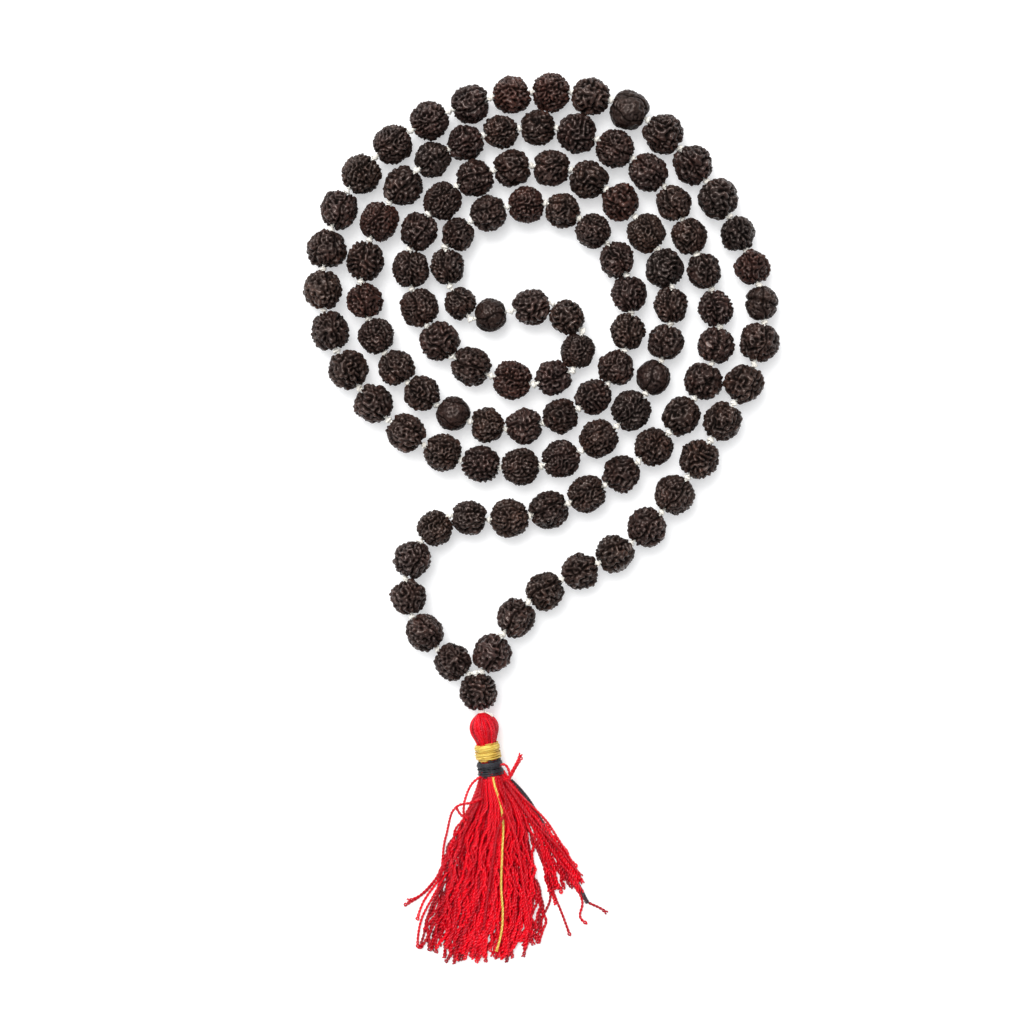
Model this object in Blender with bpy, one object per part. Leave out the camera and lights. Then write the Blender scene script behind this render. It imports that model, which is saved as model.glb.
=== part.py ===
"""Rudraksha prayer beads (a mala): 108 knobbly rudraksha seeds and a guru bead, strung on one
knotted cotton string, laid out as a double spiral on a table, with a red tassel at the guru.

Units are metres, +Z is up, +Y runs from the tassel to the coil, and the table is at z = 0.
The string is straight inside each bead and bends only at the knots between them. The lead loop
(beads 1 to 8 and 99 to 108) holds single bored beads that turn on the string. The beads of the
coil are lofted three at a time, together with their length of string and their knots.
"""

from math import cos, pi, sin

import bmesh
import bpy
from mathutils import Vector
from mathutils.geometry import interpolate_bezier

MM = 0.001

# The knots that the string is laid through: x and y in millimetres, and the number of beads
# strung up to that knot. It starts and ends at the guru bead.
ROUTE = [
    (-13.0, -32.5, 0),
    (-3.0, -17.5, 2),
    (19.0, -5.0, 5),
    (36.0, 17.0, 8),
    (47.5, 42.5, 11),
    (40.0, 65.0, 14),
    (14.5, 90.0, 18),
    (-11.0, 90.5, 21),
    (-42.0, 70.5, 25),
    (-47.0, 45.0, 28),
    (-25.5, 16.0, 32),
    (-0.5, 11.5, 35),
    (22.0, 27.0, 38),
    (27.5, 50.0, 41),
    (6.0, 75.0, 45),
    (-18.5, 71.5, 48),
    (-28.5, 58.0, 50),
    (-19.5, 35.0, 53),
    (6.5, 32.0, 56),
    (8.5, 40.5, 57),
    (2.0, 46.5, 58),
    (-15.5, 43.0, 60),
    (-21.0, 58.5, 62),
    (0.5, 68.0, 65),
    (18.0, 52.5, 68),
    (14.0, 29.0, 71),
    (-8.0, 19.5, 74),
    (-29.0, 29.5, 77),
    (-39.0, 51.0, 80),
    (-27.0, 75.0, 83),
    (3.0, 84.0, 87),
    (26.0, 71.5, 90),
    (33.0, 57.0, 92),
    (38.0, 41.5, 94),
    (32.5, 26.0, 96),
    (20.5, 12.5, 98),
    (-11.5, 0.0, 102),
    (-20.0, 1.0, 103),
    (-29.5, -12.5, 105),
    (-16.0, -33.0, 108),
]

# Beads
BEAD_COUNT = 108
BEAD_FILL = 0.475  # a bead's radius as a share of its pitch, knot to knot
LARGEST_BEAD = 4.2 * MM
BEAD_GAP = 0.06 * MM  # half of the least gap between neighbours at a bend
BORE = 0.8 * MM
DIMPLE = 0.2 * MM  # how far the bore's mouth sits below the bead's polar rim
BEAD_SIDES = 10
# A bead's outline on its own axis: (radius, height) as shares of its radius
BEAD_OUTLINE = [(0.469, 0.883), (0.866, 0.5), (1.0, 0.0), (0.866, -0.5), (0.469, -0.883)]

# String and its knots
STRING = 0.42 * MM  # radius of the doubled cotton thread
KNOT = 0.6 * MM  # radius of a knot
KNOT_TAIL = 0.45 * MM  # from a knot's middle to where the thread is plain again
STRAND_END = 0.25 * MM  # from a knot's middle to a cut in the coil
STRAND_END_RADIUS = 0.4 * MM
HINGE_CLEAR = 0.9 * MM  # from a hinge knot's middle to the thread on its other side

# How the string is divided
STRAND_BEADS = 3
FOLD_RIGHT, FOLD_LEFT = 2, 105  # the knots that the guru end folds at
LEAD_RIGHT, LEAD_LEFT = 8, 98  # the knots that the lead loop lifts at

# Guru bead and the knot under it
GURU_RADIUS = 3.95 * MM
GURU_TOP = Vector((-14.5, -32.7, 4.1)) * MM  # the knot where both ends of the string meet
TASSEL_PIVOT = Vector((-13.1, -40.9, 4.1)) * MM
END_KNOT = 0.55 * MM

# Tassel: distances along its axis from the pivot, and radii about it
SKIRT_TOP = Vector((-11.0, -55.4, 3.1)) * MM
TASSEL_SIDES = 16
HEAD_START, HEAD_END = 0.85 * MM, 6.95 * MM
NECK, NECK_END = 1.7 * MM, 14.3 * MM
HEAD_BORE, HEAD_BORE_DEPTH = 0.7 * MM, 1.2 * MM
HEAD_OUTLINE = [(1.5, 0.9), (2.55, 1.6), (3.15, 3.2), (3.1, 4.6), (2.55, 6.2), (2.1, 6.95)]
GOLD_WRAP = (7.1 * MM, 10.75 * MM, 2.8 * MM)
BLACK_WRAP = (10.95 * MM, 14.4 * MM, 2.95 * MM)
WRAP_BORE = 2.0 * MM
WRAP_EDGE = 0.3 * MM

# Skirt: y, left edge, right edge, underside and top, in millimetres
SKIRT = [
    (-55.9, -13.7, -8.2, 0.3, 5.8),
    (-58.0, -14.9, -6.7, 0.0, 5.8),
    (-61.0, -16.7, -4.5, 0.0, 5.4),
    (-64.5, -18.3, -2.1, 0.0, 4.8),
    (-71.5, -20.9, 2.3, 0.0, 3.9),
    (-79.5, -22.5, 6.7, 0.0, 3.1),
    (-87.5, -26.5, 1.5, 0.0, 2.4),
    (-93.0, -26.5, -3.1, 0.0, 1.7),
    (-95.2, -22.5, -7.5, 0.0, 1.0),
]
SKIRT_SIDES = 16
FLAT_SHARE = 0.35  # how high the skirt is widest, as a share of its height

# Loose strands on the skirt: points in millimetres, and their radius
STRAND = 0.3 * MM
GOLD_STRAND = [
    (-10.4, -56.2, 6.4),
    (-9.1, -60.5, 6.0),
    (-8.5, -65.0, 5.3),
    (-8.7, -71.0, 4.5),
    (-8.9, -79.5, 3.7),
    (-8.6, -84.0, 3.3),
    (-8.8, -88.0, 2.9),
    (-10.0, -92.8, 2.3),
]
BLACK_STRAND = [
    (-7.1, -56.0, 2.6),
    (-3.7, -59.8, 1.6),
    (-1.0, -64.2, 0.9),
    (1.3, -68.4, 0.7),
    (4.2, -72.8, 0.6),
    (6.1, -76.2, 0.6),
    (9.5, -82.8, 0.6),
]
POINTS_PER_SPAN = 4
TUBE_RESOLUTION = 2  # eight sides


def clear_scene():
    for found in list(bpy.data.objects):
        bpy.data.objects.remove(found)


def finish(name, colour, roughness, metallic=0.0):
    """A plain Principled material."""
    material = bpy.data.materials.new(name)
    material.use_nodes = True
    shader = material.node_tree.nodes["Principled BSDF"]
    shader.inputs["Base Color"].default_value = (*colour, 1.0)
    shader.inputs["Roughness"].default_value = roughness
    shader.inputs["Metallic"].default_value = metallic
    return material


def place(name, data, material):
    placed = bpy.data.objects.new(name, data)
    placed.data.materials.append(material)
    bpy.context.scene.collection.objects.link(placed)
    return placed


def tube(name, stations, material):
    """A round tube through (point, radius) stations, with closed ends."""
    line = bpy.data.curves.new(name, "CURVE")
    line.dimensions = "3D"
    line.bevel_depth = MM
    line.bevel_resolution = TUBE_RESOLUTION
    line.use_fill_caps = True
    line.twist_mode = "Z_UP"
    spline = line.splines.new("POLY")
    spline.points.add(len(stations) - 1)
    for point, (place_at, radius) in zip(spline.points, stations):
        point.co = (*place_at, 1.0)
        point.radius = radius / MM
    return place(name, line, material)


def turned(name, outline, sides, material):
    """A body turned about its own Z axis from a closed outline of (radius, height)."""
    mesh = bpy.data.meshes.new(name)
    work = bmesh.new()
    corners = [work.verts.new((radius, 0.0, height)) for radius, height in outline]
    edges = [work.edges.new(pair) for pair in zip(corners, corners[1:] + corners[:1])]
    bmesh.ops.spin(
        work, geom=corners + edges, axis=(0, 0, 1), cent=(0, 0, 0), steps=sides, angle=2 * pi
    )
    bmesh.ops.remove_doubles(work, verts=work.verts, dist=0.001 * MM)
    bmesh.ops.recalc_face_normals(work, faces=work.faces)
    work.to_mesh(mesh)
    work.free()
    mesh.shade_smooth()
    mesh.set_sharp_from_angle(angle=0.9)
    return place(name, mesh, material)


def stand_along(body, at, direction):
    """Puts a turned body's origin at a point and its Z axis along a direction."""
    body.location = at
    body.rotation_mode = "QUATERNION"
    body.rotation_quaternion = direction.to_track_quat("Z", "Y")
    return body


def smooth_handles(stops):
    """The direction at each stop of a smooth curve, scaled to one unit of its length."""
    steps = [b - a for a, b in zip(stops, stops[1:])]
    inner = [
        (a / a.length * b.length + b / b.length * a.length) / (a.length + b.length)
        for a, b in zip(steps, steps[1:])
    ]
    first = 2 * steps[0] / steps[0].length - inner[0]
    last = 2 * steps[-1] / steps[-1].length - inner[-1]
    return [first, *inner, last]


def smooth_span(stops, handles, i, count):
    """Points along the curve from stop i to the next, evenly spaced by length."""
    reach = (stops[i + 1] - stops[i]).length / 3
    fine = interpolate_bezier(
        stops[i],
        stops[i] + handles[i] * reach,
        stops[i + 1] - handles[i + 1] * reach,
        stops[i + 1],
        33,
    )
    lengths = [0.0]
    for a, b in zip(fine, fine[1:]):
        lengths.append(lengths[-1] + (b - a).length)
    found = []
    for part in range(1, count + 1):
        goal = lengths[-1] * part / count
        k = next((n for n in range(1, len(fine)) if lengths[n] >= goal), len(fine) - 1)
        share = (goal - lengths[k - 1]) / (lengths[k] - lengths[k - 1])
        found.append(fine[k - 1].lerp(fine[k], min(share, 1.0)))
    return found


def string_knots():
    """Every knot of the string at z = 0, from before the first bead to after the last."""
    stops = [Vector((x, y, 0.0)) * MM for x, y, _ in ROUTE]
    handles = smooth_handles(stops)
    knots = [stops[0]]
    for i in range(len(stops) - 1):
        knots += smooth_span(stops, handles, i, ROUTE[i + 1][2] - ROUTE[i][2])
    return knots


def half_bend(knots, i):
    """The cosine of half the string's bend at knot i."""
    if i in (0, BEAD_COUNT):
        return 1.0
    before, after = knots[i] - knots[i - 1], knots[i + 1] - knots[i]
    return cos(before.angle(after) / 2)


def bead_radii(knots):
    """The radius of each bead: it fills its pitch, and clears its neighbours at a bend."""
    radii = []
    for i in range(BEAD_COUNT):
        pitch = (knots[i + 1] - knots[i]).length
        bend = min(half_bend(knots, i), half_bend(knots, i + 1))
        radii.append(min(BEAD_FILL * pitch, LARGEST_BEAD, pitch / 2 * bend - BEAD_GAP))
    return radii


def raise_knots(knots, radii):
    """Lifts each knot so that the beads on both its sides clear the table."""
    for i, knot in enumerate(knots):
        knot.z = max(radii[max(i - 1, 0)], radii[min(i, BEAD_COUNT - 1)])


def bead_outline(radius):
    """A bored bead's closed outline, from the bore's mouth round the outside and back."""
    outer = [(radius * wide, radius * high) for wide, high in BEAD_OUTLINE]
    mouth = outer[0][1] - DIMPLE
    return [(BORE, mouth), *outer, (BORE, -mouth)]


def single_bead(name, start, end, radius, material):
    bead = turned(name, bead_outline(radius), BEAD_SIDES, material)
    return stand_along(bead, (start + end) / 2, end - start)


def coil_strand(first, knots, radii, material):
    """Three beads of the coil with their thread, from one knot to another."""
    last = first + STRAND_BEADS - 1
    opens, closes = first - 1, last
    stations = []
    along = (knots[first] - knots[opens]).normalized()
    if opens == LEAD_RIGHT:
        stations += hinge_ball(knots[opens], -along)
    else:
        stations.append((knots[opens] + along * STRAND_END, STRAND_END_RADIUS))
    for number in range(first, last + 1):
        start, end = knots[number - 1], knots[number]
        along, middle = (end - start).normalized(), (start + end) / 2
        radius = radii[number - 1]
        for wide, high in reversed(BEAD_OUTLINE):
            stations.append((middle + along * radius * high, radius * wide))
        if number < last:
            stations.append((end, KNOT))
    if closes == LEAD_LEFT:
        stations += reversed(hinge_ball(knots[closes], along))
    else:
        stations.append((knots[closes] - along * STRAND_END, STRAND_END_RADIUS))
    return tube(f"bead_strand_{first:03}_{last:03}", stations, material)


def hinge_ball(knot, outward):
    """The stations of a knot that ends a piece of string, from its outer end to its middle."""
    return [(knot + outward * 0.5 * KNOT, 0.75 * KNOT), (knot, KNOT)]


def knotted_thread(name, knots, starts_clear, ends_in_ball, material):
    """Thread through a list of knots. One end stops clear of a hinge knot or starts as one."""
    stations = []
    first = (knots[1] - knots[0]).normalized()
    if starts_clear:
        stations.append((knots[0] + first * HINGE_CLEAR, STRING))
    else:
        stations += [*hinge_ball(knots[0], -first), (knots[0] + first * KNOT_TAIL, STRING)]
    for before, knot, after in zip(knots, knots[1:], knots[2:]):
        entering, leaving = (knot - before).normalized(), (after - knot).normalized()
        stations.append((knot - entering * KNOT_TAIL, STRING))
        stations.append((knot, KNOT))
        stations.append((knot + leaving * KNOT_TAIL, STRING))
    last = (knots[-1] - knots[-2]).normalized()
    if ends_in_ball:
        stations.append((knots[-1] - last * KNOT_TAIL, STRING))
        stations += reversed(hinge_ball(knots[-1], last))
    else:
        stations.append((knots[-1] - last * HINGE_CLEAR, STRING))
    return tube(name, stations, material)


def make_string(knots, cotton):
    """The four lengths of string in the lead loop. The right one runs on through the guru."""
    knotted_thread("lead_thread_right", knots[LEAD_RIGHT : FOLD_RIGHT - 1 : -1], True, True, cotton)
    knotted_thread("lead_thread_left", knots[LEAD_LEFT : FOLD_LEFT + 1], True, True, cotton)
    to_guru = [*knots[FOLD_RIGHT::-1], GURU_TOP, TASSEL_PIVOT]
    knotted_thread("guru_thread_right", to_guru, True, False, cotton)
    knotted_thread("guru_thread_left", knots[FOLD_LEFT:], True, True, cotton)


def make_beads(knots, radii, dark, brown):
    """The lead loop's single beads, the coil's strands of three, and the guru bead."""
    for number in [*range(1, LEAD_RIGHT + 1), *range(LEAD_LEFT + 1, BEAD_COUNT + 1)]:
        start, end = knots[number - 1], knots[number]
        finish_of = brown if number % 4 == 0 else dark
        single_bead(f"bead_{number:03}", start, end, radii[number - 1], finish_of)
    for first in range(LEAD_RIGHT + 1, LEAD_LEFT + 1, STRAND_BEADS):
        coil_strand(first, knots, radii, brown if first % 4 == 0 else dark)
    single_bead("guru_bead", GURU_TOP, TASSEL_PIVOT, GURU_RADIUS, dark)


def end_knot(cotton):
    """The ball knot that ties both ends of the string off under the guru bead."""
    steps = [i * pi / 6 for i in range(7)]
    outline = [(END_KNOT * sin(a), END_KNOT * cos(a)) for a in steps]
    knot = turned("string_end_knot", outline, 8, cotton)
    return stand_along(knot, TASSEL_PIVOT, SKIRT_TOP - TASSEL_PIVOT)


def tassel_head(red):
    """The round head with its socket for the end knot, and the neck inside the wraps."""
    outer = [(radius * MM, height * MM) for radius, height in HEAD_OUTLINE]
    outline = [
        (HEAD_BORE, HEAD_START),
        *outer,
        (NECK, HEAD_END + 0.1 * MM),
        (NECK, NECK_END),
        (0.0, NECK_END),
        (0.0, HEAD_START + HEAD_BORE_DEPTH),
        (HEAD_BORE, HEAD_START + HEAD_BORE_DEPTH),
    ]
    return turned("tassel_head", outline, TASSEL_SIDES, red)


def wrap(name, start, end, radius, material):
    """A band of thread wound round the neck."""
    outline = [
        (WRAP_BORE, start),
        (radius - WRAP_EDGE, start),
        (radius, start + WRAP_EDGE),
        (radius, end - WRAP_EDGE),
        (radius - WRAP_EDGE, end),
        (WRAP_BORE, end),
    ]
    return turned(name, outline, TASSEL_SIDES, material)


def skirt(red):
    """The spread skirt: flat where it lies on the table, and domed above."""
    mesh = bpy.data.meshes.new("tassel_skirt")
    work = bmesh.new()
    rings = []
    for y, left, right, low, high in SKIRT:
        half, middle, reach = (right - left) / 2, (right + left) / 2, high - low
        ring = []
        for i in range(SKIRT_SIDES):
            angle = 2 * pi * i / SKIRT_SIDES
            rise = reach * max(0.0, FLAT_SHARE + (1 - FLAT_SHARE) * sin(angle))
            ring.append(Vector((middle + half * cos(angle), y, low + rise)) * MM)
        rings.append([work.verts.new(point) for point in ring])
    for ring, after in zip(rings, rings[1:]):
        for i in range(SKIRT_SIDES):
            k = (i + 1) % SKIRT_SIDES
            work.faces.new((ring[i], ring[k], after[k], after[i]))
    work.faces.new(reversed(rings[0]))
    work.faces.new(rings[-1])
    bmesh.ops.recalc_face_normals(work, faces=work.faces)
    work.to_mesh(mesh)
    work.free()
    mesh.shade_smooth()
    mesh.set_sharp_from_angle(angle=0.9)
    return place("tassel_skirt", mesh, red)


def loose_strand(name, route, material):
    """A thin strand along a smooth curve through its route."""
    stops = [Vector(point) * MM for point in route]
    handles = smooth_handles(stops)
    points = [stops[0]]
    for i in range(len(stops) - 1):
        points += smooth_span(stops, handles, i, POINTS_PER_SPAN)
    return tube(name, [(point, STRAND) for point in points], material)


def make_tassel(red, gold, black):
    for body in (
        tassel_head(red),
        wrap("gold_wrap", *GOLD_WRAP, gold),
        wrap("black_wrap", *BLACK_WRAP, black),
    ):
        stand_along(body, TASSEL_PIVOT, SKIRT_TOP - TASSEL_PIVOT)
    skirt(red)
    loose_strand("gold_strand", GOLD_STRAND, gold)
    loose_strand("black_strand", BLACK_STRAND, black)


def main():
    clear_scene()
    dark = finish("bead_dark", (0.030, 0.020, 0.016), 0.5)
    brown = finish("bead_brown", (0.052, 0.028, 0.020), 0.5)
    cotton = finish("string_cotton", (0.76, 0.71, 0.60), 0.9)
    red = finish("tassel_red", (0.62, 0.008, 0.012), 0.7)
    gold = finish("gold_thread", (0.85, 0.55, 0.13), 0.3, 0.9)
    black = finish("black_thread", (0.012, 0.014, 0.018), 0.75)
    knots = string_knots()
    radii = bead_radii(knots)
    raise_knots(knots, radii)
    make_beads(knots, radii, dark, brown)
    make_string(knots, cotton)
    end_knot(cotton)
    make_tassel(red, gold, black)


main()
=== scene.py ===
"""The looks of the rudraksha prayer beads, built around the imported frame.

Every seed is its own knobbly piece, the string is two-ply cotton with a knot between each two
seeds, and the tassel is made of its separate threads. Units are metres, in the frame's axes.
"""

from math import cos, pi, radians

import bmesh
import bpy
import numpy as np
from mathutils import Matrix, Vector
from mathutils.geometry import interpolate_bezier


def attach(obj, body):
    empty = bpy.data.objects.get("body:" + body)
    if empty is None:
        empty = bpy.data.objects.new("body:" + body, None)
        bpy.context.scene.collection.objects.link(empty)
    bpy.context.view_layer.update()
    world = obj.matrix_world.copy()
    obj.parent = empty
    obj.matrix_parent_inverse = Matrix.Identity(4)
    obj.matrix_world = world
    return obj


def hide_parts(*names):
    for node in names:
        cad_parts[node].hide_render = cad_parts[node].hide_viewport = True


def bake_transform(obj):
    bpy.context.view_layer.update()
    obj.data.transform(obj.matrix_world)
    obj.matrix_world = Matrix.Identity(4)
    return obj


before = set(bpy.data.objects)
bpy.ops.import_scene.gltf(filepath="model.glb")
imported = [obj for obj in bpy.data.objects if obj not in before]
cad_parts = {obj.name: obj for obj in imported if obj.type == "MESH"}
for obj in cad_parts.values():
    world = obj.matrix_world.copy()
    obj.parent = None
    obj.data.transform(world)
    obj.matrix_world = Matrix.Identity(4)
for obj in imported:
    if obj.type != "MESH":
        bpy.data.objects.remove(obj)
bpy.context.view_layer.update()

MM = 0.001

# The knots that the string is laid through: x and y in millimetres, and the number of seeds
# strung up to that knot. It starts and ends at the guru bead.
ROUTE = [
    (-13.0, -32.5, 0), (-3.0, -17.5, 2), (19.0, -5.0, 5), (36.0, 17.0, 8),
    (47.5, 42.5, 11), (40.0, 65.0, 14), (14.5, 90.0, 18), (-11.0, 90.5, 21),
    (-42.0, 70.5, 25), (-47.0, 45.0, 28), (-25.5, 16.0, 32), (-0.5, 11.5, 35),
    (22.0, 27.0, 38), (27.5, 50.0, 41), (6.0, 75.0, 45), (-18.5, 71.5, 48),
    (-28.5, 58.0, 50), (-19.5, 35.0, 53), (6.5, 32.0, 56), (8.5, 40.5, 57),
    (2.0, 46.5, 58), (-15.5, 43.0, 60), (-21.0, 58.5, 62), (0.5, 68.0, 65),
    (18.0, 52.5, 68), (14.0, 29.0, 71), (-8.0, 19.5, 74), (-29.0, 29.5, 77),
    (-39.0, 51.0, 80), (-27.0, 75.0, 83), (3.0, 84.0, 87), (26.0, 71.5, 90),
    (33.0, 57.0, 92), (38.0, 41.5, 94), (32.5, 26.0, 96), (20.5, 12.5, 98),
    (-11.5, 0.0, 102), (-20.0, 1.0, 103), (-29.5, -12.5, 105), (-16.0, -33.0, 108),
]
SEED_COUNT = 108
SEED_FILL = 0.475  # a seed's radius as a share of its pitch, knot to knot
LARGEST_SEED = 4.2 * MM
SEED_GAP = 0.06 * MM
GURU_RADIUS = 3.95 * MM
GURU_TOP = Vector((-14.5, -32.7, 4.1)) * MM  # the knot where both ends of the string meet
TASSEL_PIVOT = Vector((-13.1, -40.9, 4.1)) * MM
SKIRT_TOP = Vector((-11.0, -55.4, 3.1)) * MM
FOLD_RIGHT, FOLD_LEFT = 2, 105  # the knots that the guru end folds at
LEAD_RIGHT, LEAD_LEFT = 8, 98  # the knots that the lead loop lifts at
STRAND_SEEDS = 3  # the coil's CAD nodes hold three seeds each

# A seed is modelled at this radius and scaled to its place
SEED = 4.0 * MM
PATCH_SIDE = 36  # quads along each side of a seed's six patches
BORE_CELLS = 4  # half of the bore's mouth, in quads
BORE_RIM = 2 * BORE_CELLS / PATCH_SIDE  # the same, as a share of the polar patch's half width
BORE = 0.72 * MM
BORE_LIP = 0.4 * MM  # from the mouth's edge down to the bore
POLE_STRETCH = 1.03
DIMPLE_DEPTH, DIMPLE_WIDTH = 0.45 * MM, 1.1 * MM  # the hollow round each mouth of the bore
RIDGE_DEPTH, WORN_DEPTH = 0.9 * MM, 0.55 * MM
RELIEF_AT_RADIUS = 0.68  # where a seed's surface is neither raised nor sunk
UNEVENNESS = 0.3 * MM
EVENING_PASSES = 120
SHARPENING_PASSES = 9
MUKHI_LINES, MUKHI_WIDTH = 5, 0.055
LOBE_TILT = (0.35, 0.15, 1.0)  # across the plane of the fold that parts a lobed seed
LOBE_DEPTH = 0.7 * MM
KNOBBLY_SHAPES = 10
GURU_SHAPE = 3
SEED_STRETCH = [(0.96, 1.04), (0.96, 1.04), (0.99, 1.02)]


# Camera, floor and light -------------------------------------------------------------------

VIEW_CENTRE = Vector((-6.6, 1.7, 4.0)) * MM
VIEW_DISTANCE = 518.5 * MM
FLOOR_SIZE = 6.0


def make_camera():
    """Straight above the beads, with the tassel towards the bottom of the picture."""
    camera = bpy.data.objects.new("camera", bpy.data.cameras.new("camera"))
    camera.data.lens = 85
    camera.data.sensor_width = 36
    camera.data.clip_start = 0.01
    camera.location = VIEW_CENTRE + Vector((0, 0, VIEW_DISTANCE))
    bpy.context.scene.collection.objects.link(camera)
    bpy.context.scene.camera = camera
    bpy.context.scene.view_settings.view_transform = "Standard"


# Materials ---------------------------------------------------------------------------------


def new_material(name):
    """An empty Principled material: the material, its node tree and its shader."""
    material = bpy.data.materials.new(name)
    material.use_nodes = True
    tree = material.node_tree
    return material, tree, tree.nodes["Principled BSDF"]


def add_node(tree, kind, inputs=None, **settings):
    """A node with its settings made, and each input set to a value or linked to a socket."""
    made = tree.nodes.new("ShaderNode" + kind)
    for key, value in settings.items():
        setattr(made, key, value)
    feed(tree, made, inputs or {})
    return made


def feed(tree, target, inputs):
    """Sets each of a node's inputs to a value, or links it to a socket."""
    for key, value in inputs.items():
        if isinstance(value, bpy.types.NodeSocket):
            tree.links.new(value, target.inputs[key])
        else:
            target.inputs[key].default_value = value


def ramp(tree, factor, stops):
    """A colour ramp through (position, colour) stops."""
    made = add_node(tree, "ValToRGB", {"Fac": factor})
    elements = made.color_ramp.elements
    while len(elements) < len(stops):
        elements.new(0.5)
    for element, (position, colour) in zip(elements, stops):
        element.position = position
        element.color = (*colour, 1.0)
    return made.outputs["Color"]


def mapped(tree, value, low, high, start=0.0, end=1.0):
    """A value mapped from start..end to low..high."""
    made = add_node(
        tree, "MapRange",
        {"Value": value, "From Min": start, "From Max": end, "To Min": low, "To Max": high},
    )
    return made.outputs["Result"]


def noise(tree, scale, detail=2.0, roughness=0.5, vector=None):
    """Noise in the piece's own space."""
    at = vector or add_node(tree, "TexCoord").outputs["Object"]
    made = add_node(
        tree, "TexNoise",
        {"Vector": at, "Scale": scale, "Detail": detail, "Roughness": roughness},
    )
    return made.outputs["Fac"]


def attribute(tree, name):
    """A value that the mesh holds at each point."""
    return add_node(tree, "Attribute", attribute_name=name).outputs["Fac"]


def mixed(tree, blend, factor, a, b):
    """Two colours mixed by a blend type."""
    made = add_node(tree, "Mix", data_type="RGBA", blend_type=blend)
    for socket, value in zip((made.inputs[0], made.inputs[6], made.inputs[7]), (factor, a, b)):
        if isinstance(value, bpy.types.NodeSocket):
            tree.links.new(value, socket)
        else:
            socket.default_value = value
    return made.outputs[2]


def bump(tree, height, distance, strength=1.0, normal=None):
    """A normal bumped by a height, over another bumped normal if there is one."""
    inputs = {"Height": height, "Distance": distance, "Strength": strength}
    if normal is not None:
        inputs["Normal"] = normal
    return add_node(tree, "Bump", inputs).outputs["Normal"]


def seed_material():
    """Dark rudraksha: brown worn ridge tops, and near-black grooves whose dark is partly the seed's
    own colour and partly painted shade; a waxy semi-gloss.
    """
    material, tree, shader = new_material("rudraksha_seed")
    relief = attribute(tree, "relief")
    # The colour darkens with depth: brown on the worn ridge tops, near-black in the grooves, partly
    # their own colour and partly painted shade.
    by_depth = ramp(
        tree, relief,
        [
            (0.0, (0.0010, 0.0005, 0.0003)),
            (0.4, (0.0100, 0.0048, 0.0036)),
            (0.8, (0.0325, 0.0168, 0.0135)),
            (1.0, (0.0660, 0.0390, 0.0320)),
        ],
    )
    patches = noise(tree, 260.0, 3.0, 0.6)
    warm = ramp(
        tree, patches,
        [(0.35, (0.7, 0.68, 0.70)), (0.55, (1.0, 0.97, 0.95)), (0.72, (1.45, 1.12, 1.0))],
    )
    tint = add_node(tree, "ObjectInfo").outputs["Color"]
    toned = mixed(tree, "MULTIPLY", 1.0, mixed(tree, "MULTIPLY", 1.0, by_depth, warm), tint)
    grain = noise(tree, 2600.0, 4.0, 0.7)
    wrinkle = noise(tree, 900.0, 2.0, 0.5)
    feed(tree, shader, {
        "Base Color": toned,
        "Roughness": mapped(tree, relief, 0.7, 0.2, 0.2, 0.9),
        # The specular is turned down in the grooves as well, which darkens them further as painted
        # shade.
        "Specular IOR Level": mapped(tree, relief, 0.1, 0.62, 0.25, 0.95),
        "Normal": bump(tree, grain, 0.04 * MM, 0.6, bump(tree, wrinkle, 0.12 * MM, 0.5)),
    })
    shader.inputs["Specular Tint"].default_value = (1.0, 0.86, 0.80, 1.0)
    return material


def thread_material(name, pale, dark, roughness, rough_depth=0.05, **gloss):
    """Twisted thread: noise darkens it as painted shade between its fibres, and each thread has its
    own tone.
    """
    material, tree, shader = new_material(name)
    fibres = noise(tree, 5200.0, 3.0, 0.7)
    shade = ramp(tree, attribute(tree, "shade"), [(0.0, dark), (1.0, pale)])
    # Painted shade between the fibres: noise mixes the colour towards the dark tone.
    between = mapped(tree, fibres, 0.0, 0.5, 0.35, 0.75)
    feed(tree, shader, {
        "Base Color": mixed(tree, "MIX", between, shade, (*dark, 1.0)),
        "Roughness": mapped(tree, fibres, roughness - 0.1, roughness + 0.12, 0.3, 0.7),
        "Normal": bump(tree, fibres, rough_depth * MM, 0.8),
    })
    for key, value in gloss.items():
        shader.inputs[key.replace("_", " ")].default_value = value
    return material


# Curves and threads ------------------------------------------------------------------------

SPAN_SAMPLES = 33  # of the curve between two stops, to measure its length
SPAN_PARTS = 8  # even parts of it in a thread's route


def smooth_handles(stops):
    """The direction at each stop of a smooth curve, scaled to one unit of its length."""
    steps = [b - a for a, b in zip(stops, stops[1:])]
    inner = [
        (a / a.length * b.length + b / b.length * a.length) / (a.length + b.length)
        for a, b in zip(steps, steps[1:])
    ]
    first = 2 * steps[0] / steps[0].length - inner[0]
    last = 2 * steps[-1] / steps[-1].length - inner[-1]
    return [first, *inner, last]


def smooth_span(stops, handles, i, count):
    """Points along the curve from stop i to the next, evenly spaced by length."""
    reach = (stops[i + 1] - stops[i]).length / 3
    fine = interpolate_bezier(
        stops[i],
        stops[i] + handles[i] * reach,
        stops[i + 1] - handles[i + 1] * reach,
        stops[i + 1],
        SPAN_SAMPLES,
    )
    lengths = [0.0]
    for a, b in zip(fine, fine[1:]):
        lengths.append(lengths[-1] + (b - a).length)
    found = []
    for part in range(1, count + 1):
        goal = lengths[-1] * part / count
        k = next((n for n in range(1, len(fine)) if lengths[n] >= goal), len(fine) - 1)
        share = (goal - lengths[k - 1]) / (lengths[k] - lengths[k - 1])
        found.append(fine[k - 1].lerp(fine[k], min(share, 1.0)))
    return found


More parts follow.
